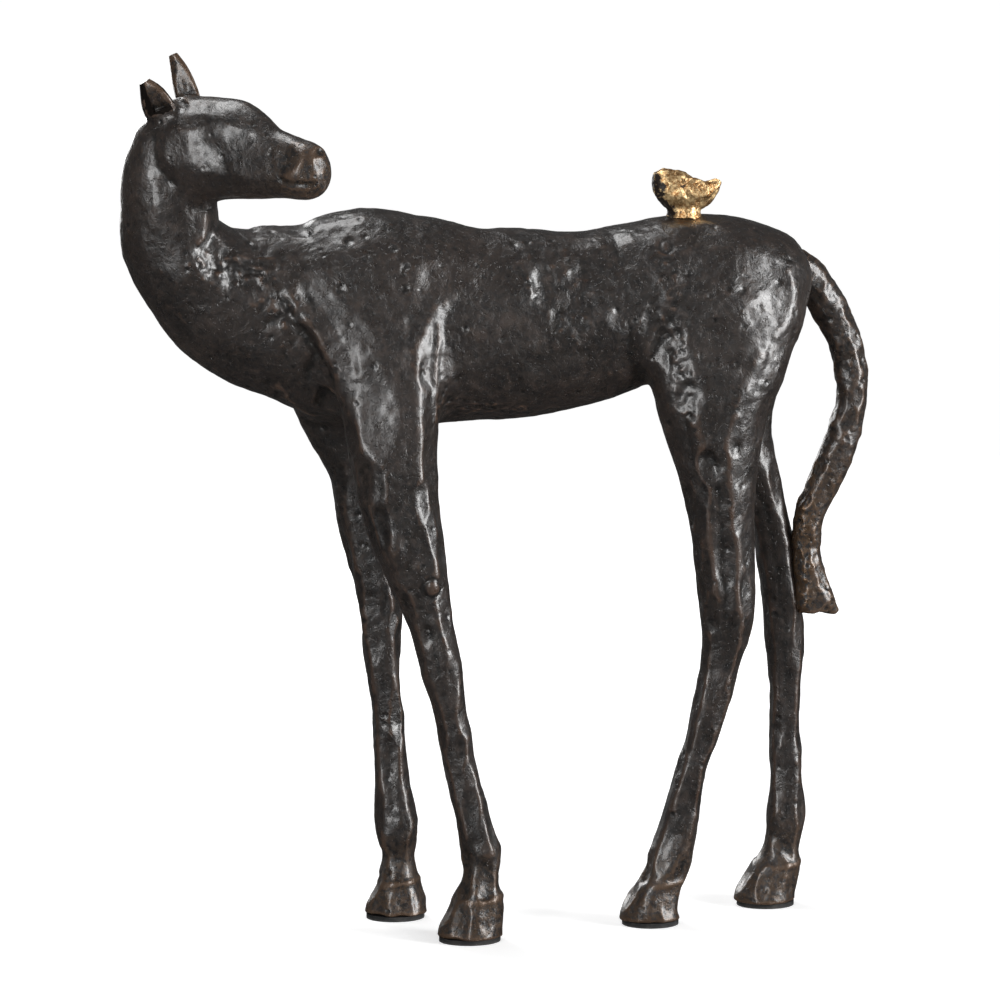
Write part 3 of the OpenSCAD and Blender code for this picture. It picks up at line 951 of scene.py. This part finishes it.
def shape_flanks(clay):
    """Ridges and hollows that both flanks share."""
    for side in (-1, 1):
        clay.mark(on_flank(clay, side, SHOULDER_RIDGE[side]), 12, 2.6, 1.2)
        clay.mark(on_flank(clay, side, ELBOW_RIDGE[side]), 8, 2.2, 1.2)
        clay.mark(on_flank(clay, side, FLANK_CREASE), 9, -1.8, 1.3)
        clay.mark(on_flank(clay, side, THIGH_RIDGE[side]), 6, 1.5, 1.1)
        clay.mark(on_flank(clay, side, THIGH_EDGE[side]), 6, 1.4, 1.1)
        backwards = (0.40, side * 0.89, 0.22)
        clay.plane_off(on_flank(clay, side, HAUNCH_FLAT), 22, 1.5, backwards)
        clay.mark(on_flank(clay, side, HAUNCH_EDGE), 5, 0.6, 1.1)
        forwards = (-0.42, side * 0.86, 0.28)
        clay.plane_off(on_flank(clay, side, THIGH_BAND), 11, 0.9, forwards, (1, 1, 1.5))
        clay.plane_off(on_flank(clay, side, SHOULDER_BAND[side]), 9, 0.7, forwards, (1, 1, 1.6))
        for spot in [(104, 345), (106, 300), (35, 335), (-70, 335), (-68, 275)]:
            clay.pare(on_flank(clay, side, [spot])[0], 24, 1.5)


def mark_left_flank(clay):
    """Creases, folds and dents that only the left flank has."""

    def left(*spots):
        return on_flank(clay, -1, spots)

    clay.mark(left((-119, 334), (-113, 324), (-106, 315), (-100, 305)), 6, -2.2)
    clay.mark(left((-125, 320), (-113, 325)), 4, -1.2)
    clay.plane_off(left((-150, 352), (-142, 346), (-134, 340)), 13, 0.9, (-0.3, -0.8, 0.5))
    clay.wrinkle(left((-158, 350), (-143, 348), (-126, 345)), 13, 1.0, 5.5, 11, (1.6, 1, 1))
    clay.mark(left((-157, 347), (-143, 349), (-127, 345)), 2.5, -1.1)
    clay.wrinkle(left((-125, 334), (-112, 322)), 12, 1.1, 6, 13)
    clay.mark(left((-154, 381), (-157, 366), (-160, 352)), 6, 1.6, 1.2)
    clay.mark(left((-117, 283), (-109, 272), (-100, 266), (-91, 263)), 4, -1.6)
    clay.mark(left((-118, 288), (-108, 277), (-98, 271)), 5, 1.0)
    clay.wrinkle(left((80, 350), (83, 320), (87, 292), (93, 268)), 9, 0.9, 5.5, 17)
    clay.mark(left((-38, 318), (-40, 295), (-40, 270)), 3.5, 0.9)
    clay.mark(left(*ring_of_spots(82, 357, 3.2)), 1.8, -0.8)
    clay.mark(left((83, 344), (87, 345.5), (90, 343)), 1.6, -0.7)
    clay.plane_off(left((28, 340), (42, 330), (50, 344)), 16, 0.8, (-0.4, -0.9, 0.3))
    clay.wrinkle(left((28, 343), (38, 330), (30, 318)), 18, 0.9, 7, 19)
    clay.bump(left((116, 254))[0], 6, -0.9)
    clay.mark(left(*ring_of_spots(-43, 185, 5)), 2.2, -1.0)
    clay.bump(left((-43, 185))[0], 5, 1.4)
    for x, z in [(-82, 361), (-60, 357), (-74, 352), (-54, 348), (-55, 337), (-88, 337)]:
        clay.bump(left((x, z))[0], 3.5, -1.0)
    clay.wrinkle(left((-38, 276), (-15, 274), (10, 275)), 8, 0.8, 4.5, 23, (1.8, 1, 1))


def down_leg(run, side, turn):
    """Line down a leg on its left (-1) or right (1) face, turned towards the front."""
    return [
        (x - length * math.sin(turn), y + side * width * math.cos(turn), z)
        for x, y, z, length, width in run[4:-3]
    ]


def shape_legs(clay):
    """Long planes down each leg, with soft edges between them."""
    for run in LEGS.values():
        for side in (-1, 1):
            clay.mark(down_leg(run, side, math.radians(48)), 6, 0.7, 1.1)
            clay.mark(down_leg(run, side, math.radians(15)), 7, -1.0, 1.2)
            clay.mark(down_leg(run, side, math.radians(-25)), 6, 0.5, 1.1)


def shape_hooves(clay):
    """Coronet, flatter front wall and heel notch of each hoof."""
    for run in LEGS.values():
        x, y, z, length, width = run[-3]
        turns = np.linspace(0, 2 * math.pi, 25)
        coronet = [
            (x + 0.98 * length * math.cos(t), y + width * math.sin(t), z + 1.5 * math.cos(t))
            for t in turns
        ]
        clay.mark(coronet, 3.5, 0.9)
        sole_x, sole_y, _, sole_length, _ = run[-1]
        clay.pare((sole_x - sole_length * 0.86, sole_y, 11), 13, 1.2, (-0.8, 0, 0.6))
        clay.bump((sole_x + sole_length, sole_y, 5), 6, -0.9)


def body_clay():
    clay = Clay(*BODY_BOX, BODY_VOXEL)
    clay.add(loft(SPINE), FIRST_BLEND)
    for run in LEGS.values():
        clay.add(loft(run, flat_end=True), LEG_BLEND)
    clay.add(loft(SKULL, HEAD_SIDEWAYS), HEAD_BLEND)
    clay.add(loft(JAW, HEAD_SIDEWAYS), HEAD_BLEND)
    shape_flanks(clay)
    clay.lump(BROAD_HILLS)
    shape_legs(clay)
    clay.knead(count=420, size=15, depth=0.7, seed=5)
    clay.knead(count=420, size=7, depth=1.0, seed=7, stretch=LEG_FACET, top=LEG_TOP)
    mark_left_flank(clay)
    shape_hooves(clay)
    clay.lump(BODY_HILLS)
    clay.pit(count=700, size=2.4, depth=0.7, seed=6)
    clay.floor(PAD_TOP)
    return clay


LEG_FACET = (1, 1, 2.2)
LEG_TOP = 240
CASTING_MIDDLES = {
    "trunk_casting": (15, 0, 317),
    "neck_casting": (-160, -8, 347),
    "head_casting": (-140, -40, 410),
    "front_leg_left": (-35, -33, 130),
    "front_leg_right": (-58, 29, 130),
    "hind_leg_left": (105, -18, 130),
    "hind_leg_right": (155, 26, 130),
}


def make_body():
    """Trunk, neck and legs, sawn from one clay so that the seams are chased smooth."""
    clay = body_clay()
    skin = new_skin(clay)
    saw(skin, *seat(SPINE, NECK_CUT), NECK_SAW)
    saw(skin, *seat(SPINE, HEAD_CUT), HEAD_SAW)
    for run in LEGS.values():
        saw(skin, *seat(run, LEG_CUT), LEG_SAW)
    for group in pieces_of(skin, len(CASTING_MIDDLES)):
        middle = middle_of(group)
        name = min(CASTING_MIDDLES, key=lambda n: np.linalg.norm(middle - CASTING_MIDDLES[n]))
        if name == "head_casting":
            continue
        piece = casting(name + "_skin", group, clay, BRONZE, body_rub)
        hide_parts(name)
    skin.free()


# ---------------------------------------------------------------------------------------
# Head


def shape_face(clay):
    """Eyes, cheeks, temples, nostrils and mouth, alike on both sides."""
    for side in (-1, 1):

        def face(*spots):
            return on_face(clay, side, spots)

        clay.bump(face((15, 404))[0], 17, 1.3)
        clay.mark(face((24, 410), (42, 404), (60, 400)), 14, -1.0, 1.5)
        clay.mark(face((-3, 414), (-2, 406), (-1, 399), (4, 392)), 7, -1.3, 1.4)
        clay.bump(face((13, 417))[0], 12, 1.3)
        clay.bump(face((30, 419))[0], 14, 1.2)
        clay.mark(face(*ring_of_spots(4.5, 426, 3)), 1.6, -0.3)
        clay.mark(face((71, 410), (76, 407), (76.5, 400), (71, 395)), 5, 1.0, 1.2)
        clay.mark(face((67, 406), (69, 401), (64, 397)), 6, -0.7)
        clay.bump(face((84, 405.5))[0], 7, 1.0)
        clay.mark(face((82.5, 407), (87, 404.8)), 3.0, -2.8, 1.2)
        clay.mark(face((66, 392.5), (72, 391), (82, 391), (87, 393)), 2.6, -1.1, 1.2)


def head_clay():
    clay = Clay(*HEAD_BOX, HEAD_VOXEL)
    clay.add(loft(SPINE[NECK_CUT:]), FIRST_BLEND)
    clay.add(loft(SKULL, HEAD_SIDEWAYS), HEAD_BLEND)
    clay.add(loft(JAW, HEAD_SIDEWAYS), HEAD_BLEND)
    clay.lump(BROAD_HILLS)
    shape_face(clay)
    for name, run in EARS.items():
        clay.add(loft(run, HEAD_SIDEWAYS, sides=24), EAR_BLEND)
    for name, run in EARS.items():
        hollow = moved(run[1:], EAR_HOLLOW_SHIFT[name], EAR_RIM)
        clay.cut(loft(hollow, HEAD_SIDEWAYS, sides=24), EAR_RIM_BLEND)
    clay.knead(count=50, size=13, depth=0.4, seed=8)
    clay.lump(HEAD_HILLS)
    clay.pit(count=160, size=1.6, depth=0.4, seed=9)
    return clay


def make_head():
    """Head with its ears, which are sawn off at their roots as their own castings."""
    clay = head_clay()
    skin = new_skin(clay)
    saw(skin, *seat(SPINE, HEAD_CUT), HEAD_SAW)
    for run in EARS.values():
        point, way = seat(run, 0)
        saw(skin, point + EAR_ROOT * way, way, EAR_SAW)
    places = {"head_casting": (-145, -38, 405), "neck": (-165, -10, 360)}
    places.update({name: run[2][:3] for name, run in EARS.items()})
    for group in pieces_of(skin, len(places)):
        middle = middle_of(group)
        name = min(places, key=lambda n: np.linalg.norm(middle - places[n]))
        if name == "neck":
            continue
        piece = casting(name + "_skin", group, clay, BRONZE, head_rub)
        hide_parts(name)
    skin.free()


# ---------------------------------------------------------------------------------------
# Tail and bird


def make_tail():
    """Rough rolled tail with a flared, pointed end."""
    clay = Clay(*TAIL_BOX, TAIL_VOXEL)
    clay.add(loft(TAIL), FIRST_BLEND)
    clay.add(loft(TAIL_POINT), TAIL_POINT_BLEND)
    clay.lump(BROAD_TAIL_HILLS)
    clay.knead(count=110, size=8, depth=0.9, seed=14)
    clay.lump(TAIL_HILLS)
    clay.pit(count=140, size=2.2, depth=0.7, seed=15)
    skin = new_skin(clay)
    piece = casting("tail_casting_skin", islands(skin)[0], clay, BRONZE, tail_rub)
    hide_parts("tail_casting")
    skin.free()


def make_bird():
    """Stubby gilded bird with folded wings."""
    clay = Clay(*BIRD_BOX, BIRD_VOXEL)
    clay.add(loft(moved(BIRD_BODY, BIRD_PLACE)), FIRST_BLEND)
    for side in (-1, 1):
        shift = np.array(BIRD_PLACE) + (0, side * BIRD_WING_SIDE, 0)
        clay.add(loft(moved(BIRD_WING, shift), sides=24), WING_BLEND)
    clay.add(loft(moved(BIRD_FOOT, BIRD_PLACE)), FOOT_BLEND)
    for side in (-1, 1):
        spots = [(98.5, 394), (96, 391), (95, 386.5), (97, 382)]
        clay.mark(on_flank(clay, side, spots), 2.2, -1.0, 1.2)
    clay.lump(BROAD_BIRD_HILLS)
    clay.knead(count=70, size=4.5, depth=0.4, seed=21)
    clay.lump(BIRD_HILLS)
    skin = new_skin(clay)
    piece = casting("bird_casting_skin", islands(skin)[0], clay, GOLD_LEAF, bird_rub)
    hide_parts("bird_casting")
    skin.free()


dress_frame()
make_body()
make_head()
make_tail()
make_bird()

# ---------------------------------------------------------------------------------------
# Floor, light and camera

FLOOR_SIZE = 5.0
CARD_HEIGHT = 0.001

# The floor's own glow, from under the figure out to where it's the white of the backdrop
FLOOR_GLOW = 0.55
GLOW_START = 0.25
GLOW_END = 1.2

# Faint light from all round
ROOM_LIGHT = 0.09

FLOOR_GREY = (0.80, 0.80, 0.80, 1)
FLOOR_PALE = (0.83, 0.83, 0.83, 1)


def make_floor():
    """Plain pale floor that brightens away from the figure."""
    bpy.ops.mesh.primitive_plane_add(size=FLOOR_SIZE)
    floor = bpy.context.object
    floor.name = "floor"
    look = Look("floor")
    tone = look.ramp(look.noise(60, 3), 0.3, 0.7)
    look.set(Base_Color=look.mix(tone, FLOOR_GREY, FLOOR_PALE))
    far = look.node("ShaderNodeVectorMath", {0: look.place}, operation="LENGTH").outputs["Value"]
    look.set(Roughness=0.9, Specular_IOR_Level=0.2, Emission_Color=(1, 1, 1, 1))
    look.set(Emission_Strength=look.ramp(far, GLOW_START, GLOW_END, FLOOR_GLOW, 1.0))
    floor.data.materials.append(look.material)


def make_backdrop():
    """White room that only the camera sees, so that it doesn't flatten the reflections."""
    bpy.ops.mesh.primitive_uv_sphere_add(segments=48, ring_count=24, radius=FLOOR_SIZE)
    room = bpy.context.object
    room.name = "backdrop"
    look = Look("backdrop")
    look.set(Base_Color=(0, 0, 0, 1), Emission_Color=(1, 1, 1, 1), Emission_Strength=1.0)
    room.data.materials.append(look.material)
    room.visible_diffuse = False
    room.visible_glossy = False
    room.visible_shadow = False


def make_black_card():
    """Black card on the floor, seen only as a dark reflection in the figure."""
    bpy.ops.mesh.primitive_plane_add(size=FLOOR_SIZE)
    card = bpy.context.object
    card.name = "black_card"
    card.location.z = CARD_HEIGHT
    look = Look("black_card")
    look.set(Base_Color=(0.01, 0.01, 0.01, 1), Roughness=1.0)
    card.data.materials.append(look.material)
    card.visible_camera = False
    card.visible_diffuse = False
    card.visible_shadow = False


def soft_box(name, place, size, power):
    """Rectangular light aimed at the middle of the figure."""
    data = bpy.data.lights.new(name, "AREA")
    data.shape = "RECTANGLE"
    data.size, data.size_y = size
    data.energy = power
    light = bpy.data.objects.new(name, data)
    light.location = place
    light.rotation_euler = (CAMERA_AIM - light.location).to_track_quat("-Z", "Y").to_euler()
    bpy.context.scene.collection.objects.link(light)


def make_lights():
    soft_box("top", place=(-0.4, 0.3, 1.9), size=(0.9, 0.7), power=13)
    soft_box("left", place=(-1.1, -1.6, 0.6), size=(0.35, 1.4), power=16)
    soft_box("right", place=(1.6, -1.0, 0.6), size=(0.6, 1.4), power=40)
    soft_box("back", place=(-0.6, 1.7, 0.9), size=(0.6, 1.2), power=12)
    world = bpy.data.worlds.new("studio")
    bpy.context.scene.world = world
    world.use_nodes = True
    background = world.node_tree.nodes["Background"]
    background.inputs["Color"].default_value = (1, 1, 1, 1)
    background.inputs["Strength"].default_value = ROOM_LIGHT


CAMERA_TURN = math.radians(-10)
CAMERA_TILT = math.radians(6)
CAMERA_DISTANCE = 2.0
CAMERA_LENS = 138.3
SENSOR = 36
CAMERA_AIM = Vector((0, MIDDLE_Y, 0.2247))


def make_camera():
    data = bpy.data.cameras.new("camera")
    data.lens = CAMERA_LENS
    data.sensor_width = SENSOR
    camera = bpy.data.objects.new("camera", data)
    level = math.cos(CAMERA_TILT)
    back = Vector(
        (math.sin(CAMERA_TURN) * level, -math.cos(CAMERA_TURN) * level, math.sin(CAMERA_TILT))
    )
    camera.location = CAMERA_AIM + back * CAMERA_DISTANCE
    camera.rotation_euler = (-back).to_track_quat("-Z", "Y").to_euler()
    bpy.context.scene.collection.objects.link(camera)
    bpy.context.scene.camera = camera


make_floor()
make_backdrop()
make_black_card()
make_lights()
make_camera()
bpy.context.scene.view_settings.view_transform = "Standard"
